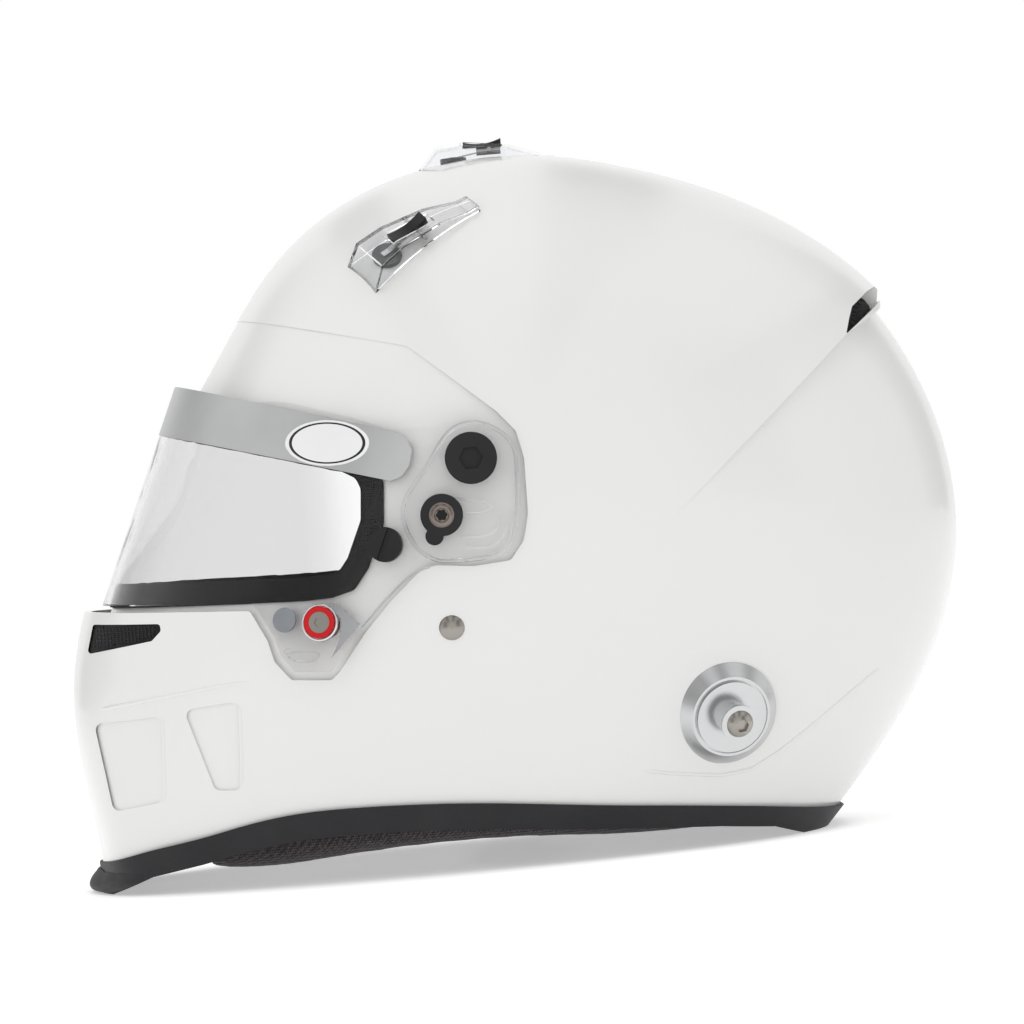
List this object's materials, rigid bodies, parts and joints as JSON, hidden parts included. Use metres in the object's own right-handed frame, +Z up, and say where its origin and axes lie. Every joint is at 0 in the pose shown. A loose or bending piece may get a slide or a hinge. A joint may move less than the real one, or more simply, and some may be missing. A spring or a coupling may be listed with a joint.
{
  "type": "auto racing helmet",
  "caption": "Full-face racing helmet with a hinged clear visor, sun strip, three lever vents, head restraint anchors, padding and a buckled chin strap.",
  "frame": {"origin": "centre of the bounding box's foot, on the surface that the helmet stands on", "axes": "+Z up, the wearer faces -Y, the wearer's left is +X"},
  "size_m": [0.255, 0.355, 0.2825],
  "materials": {
    "shell_white": "glossy white lacquer over laminate",
    "trim_rubber": "satin black edge rubber",
    "gasket_grey": "dark grey eyeport rubber",
    "impact_foam": "moulded impact foam",
    "liner_fabric": "knitted flame-resistant lining",
    "visor_clear": "clear hard-coated polycarbonate",
    "strip_silver": "silver sun strip film",
    "polished_alloy": "polished",
    "marker_grey": "plain grey disc",
    "button_red": "moulded red",
    "steel": "turned steel",
    "cam_black": "moulded black",
    "anchor_alloy": "turned and polished",
    "vent_clear": "clear moulded scoop",
    "flap_grey": "dark grey flap",
    "strap_webbing": "woven aramid webbing",
    "ring_steel": "bright plated wire",
    "mesh_black": "woven vent mesh"
  },
  "bodies": {
    "helmet": {"shell": "shell_white", "rim_trim": "trim_rubber", "eyeport_gasket": "gasket_grey", "impact_liner": "impact_foam", "comfort_liner": "liner_fabric", "chin_foam": "impact_foam", "cheek_pad_left": "liner_fabric", "cheek_pad_right": "liner_fabric", "neck_roll": "liner_fabric", "lock_catch": "steel", "chin_vent_mesh": "mesh_black", "exhaust_mesh": "mesh_black", "strap_left": "strap_webbing", "strap_right": "strap_webbing", "d_ring_upper": "ring_steel", "d_ring_lower": "ring_steel", "pivot_screw_left": "cam_black", "pivot_screw_right": "cam_black", "pivot_nut_left": "steel", "pivot_nut_right": "steel", "anchor_cone_left": "anchor_alloy", "anchor_cone_right": "anchor_alloy", "anchor_post_left": "anchor_alloy", "anchor_post_right": "anchor_alloy", "anchor_screw_left": "steel", "anchor_screw_right": "steel", "anchor_nut_left": "steel", "anchor_nut_right": "steel", "strap_rivet_left": "steel", "strap_rivet_right": "steel", "vent_housing_left": "vent_clear", "vent_housing_right": "vent_clear", "vent_axle_left": "steel", "vent_axle_right": "steel", "vent_housing_centre": "vent_clear", "vent_axle_centre": "steel"},
    "visor": {"visor": "visor_clear", "visor_strip": "strip_silver", "lock_wedge": "polished_alloy", "marker_disc": "marker_grey", "cam_screw_left": "steel", "cam_screw_right": "steel"},
    "lock_button": {"lock_button": "button_red", "button_screw": "steel"},
    "cam_left": {"cam_ring_left": "cam_black"},
    "cam_right": {"cam_ring_right": "cam_black"},
    "tearoff_left": {"tearoff_post_left": "cam_black"},
    "tearoff_right": {"tearoff_post_right": "cam_black"},
    "vent_lever_centre": {"vent_clip_centre": "polished_alloy", "vent_thumb_centre": "cam_black", "vent_flap_centre": "flap_grey"},
    "vent_lever_left": {"vent_clip_left": "polished_alloy", "vent_thumb_left": "cam_black", "vent_flap_left": "flap_grey"},
    "vent_lever_right": {"vent_clip_right": "polished_alloy", "vent_thumb_right": "cam_black", "vent_flap_right": "flap_grey"}
  },
  "joints": [
    {"name": "visor_tilt", "type": "hinge", "parent": "helmet", "child": "visor", "pos_m": [0, -0.01039, 0.15601], "axis": [-1, 0, 0], "range_deg": [0, 38]},
    {"name": "lock_press", "type": "slide", "parent": "visor", "child": "lock_button", "axis": [-0.9584, 0.2608, -0.1156], "range_m": [0, 0.0014], "stiffness_N_per_m": 800, "springref_m": -0.001},
    {"name": "cam_turn_left", "type": "hinge", "parent": "visor", "child": "cam_left", "pos_m": [0.12435, -0.02321, 0.13571], "axis": [0.9996, -0.0271, 0.012], "range_deg": [-20, 20]},
    {"name": "tearoff_turn_left", "type": "hinge", "parent": "visor", "child": "tearoff_left", "pos_m": [0.12273, -0.0451, 0.1265], "axis": [0.9858, -0.1535, 0.068], "range_deg": [-90, 90]},
    {"name": "cam_turn_right", "type": "hinge", "parent": "visor", "child": "cam_right", "pos_m": [-0.12435, -0.02321, 0.13571], "axis": [-0.9996, -0.0271, 0.012], "range_deg": [-20, 20]},
    {"name": "tearoff_turn_right", "type": "hinge", "parent": "visor", "child": "tearoff_right", "pos_m": [-0.12273, -0.0451, 0.1265], "axis": [-0.9858, -0.1535, 0.068], "range_deg": [-90, 90]},
    {"name": "vent_lift_centre", "type": "hinge", "parent": "helmet", "child": "vent_lever_centre", "pos_m": [0, 0.00728, 0.27828], "axis": [-1, 0, 0], "range_deg": [0, 8]},
    {"name": "vent_lift_left", "type": "hinge", "parent": "helmet", "child": "vent_lever_left", "pos_m": [0.08133, -0.02371, 0.2454], "axis": [-0.74, -0.462, 0.4888], "range_deg": [0, 8]},
    {"name": "vent_lift_right", "type": "hinge", "parent": "helmet", "child": "vent_lever_right", "pos_m": [-0.08133, -0.02371, 0.2454], "axis": [-0.74, 0.462, -0.4888], "range_deg": [0, 8]}
  ]
}
